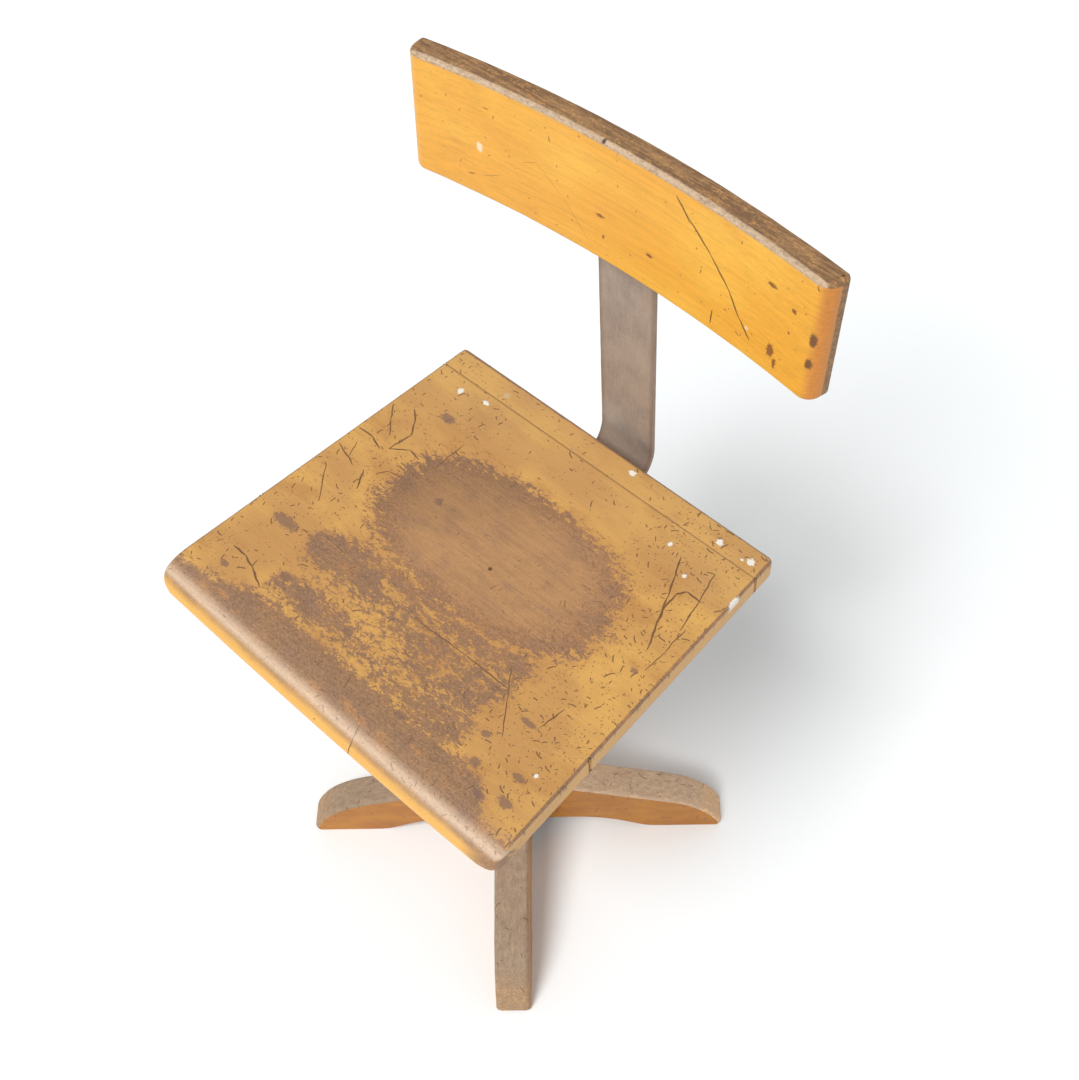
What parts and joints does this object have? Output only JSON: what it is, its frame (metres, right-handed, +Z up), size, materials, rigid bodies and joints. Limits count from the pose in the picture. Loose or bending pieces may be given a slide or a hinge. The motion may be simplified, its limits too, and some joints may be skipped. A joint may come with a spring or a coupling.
{
  "type": "drafting chair",
  "caption": "Wooden swivel chair with a worn board seat, curved backrest on a flat spring-steel bar, and a four-foot base with a height screw.",
  "frame": {"origin": "on the floor, at the column's axis", "axes": "+Z up; the sitter faces -Y, so the backrest is at +Y; +X is to the right as seen from the front"},
  "size_m": [0.4098, 0.3911, 0.8039],
  "materials": {
    "seat_wood": "amber lacquer worn through to bare brown wood",
    "back_wood": "amber lacquer, edges worn bare",
    "foot_wood": "lacquered sides, tops scuffed grey-brown",
    "column_wood": "lacquered, turned",
    "underside_wood": "bare, planed",
    "spring_steel": "dull, with light rust",
    "plain_steel": "dull, with light rust",
    "thread_steel": "oiled",
    "screw_steel": "dull",
    "cast_iron": "black paint, rubbed at the edges",
    "bronze": "dull bronze"
  },
  "bodies": {
    "base": {"foot_rear_right": "foot_wood", "foot_rear_left": "foot_wood", "foot_front_left": "foot_wood", "foot_front_right": "foot_wood", "column": "column_wood", "tie_plate": "plain_steel", "tie_plate_screws": "screw_steel", "column_ferrule": "plain_steel", "guide_flange": "cast_iron", "guide_flange_screws": "screw_steel", "guide_key": "screw_steel", "wheel_washer": "plain_steel"},
    "height_wheel": {"hand_wheel": "cast_iron", "wheel_nut": "bronze"},
    "height_spindle": {"spindle": "thread_steel", "stop_collar": "plain_steel", "collar_pin": "screw_steel", "swivel_washer": "bronze", "retaining_washer": "plain_steel", "retaining_screw": "screw_steel"},
    "seat": {"seat_hub": "cast_iron", "seat_hub_screws": "screw_steel", "seat_block": "underside_wood", "seat_block_screws": "screw_steel", "seat_front_board": "seat_wood", "seat_middle_board": "seat_wood", "seat_rear_strip": "seat_wood", "batten_left": "underside_wood", "batten_right": "underside_wood", "batten_screws": "screw_steel", "bar_guide": "plain_steel", "bar_guide_screws": "screw_steel"},
    "backrest": {"backrest_bar": "spring_steel", "backrest_board": "back_wood", "backrest_screws": "screw_steel"},
    "clamp": {"clamp_screw": "screw_steel", "clamp_knob": "cast_iron"}
  },
  "joints": [
    {"name": "wheel_turn", "type": "hinge", "parent": "base", "child": "height_wheel", "pos_m": [0, 0, 0.3385], "axis": [0, 0, -1], "range_deg": [-1200, 6000]},
    {"name": "spindle_lift", "type": "slide", "parent": "base", "child": "height_spindle", "axis": [0, 0, 1], "range_m": [-0.02, 0.1]},
    {"name": "seat_swivel", "type": "hinge", "parent": "height_spindle", "child": "seat", "pos_m": [0, 0, 0.412], "axis": [0, 0, 1], "continuous": true},
    {"name": "backrest_slide", "type": "slide", "parent": "seat", "child": "backrest", "axis": [0, 1, 0], "range_m": [-0.014, 0.03]},
    {"name": "clamp_turn", "type": "hinge", "parent": "seat", "child": "clamp", "pos_m": [0, 0.11, 0.413], "axis": [0, 0, -1], "range_deg": [0, 540]}
  ],
  "couplings": [
    {"joint": "spindle_lift", "follows": "wheel_turn", "m_per_rad": 0.00095493}
  ]
}
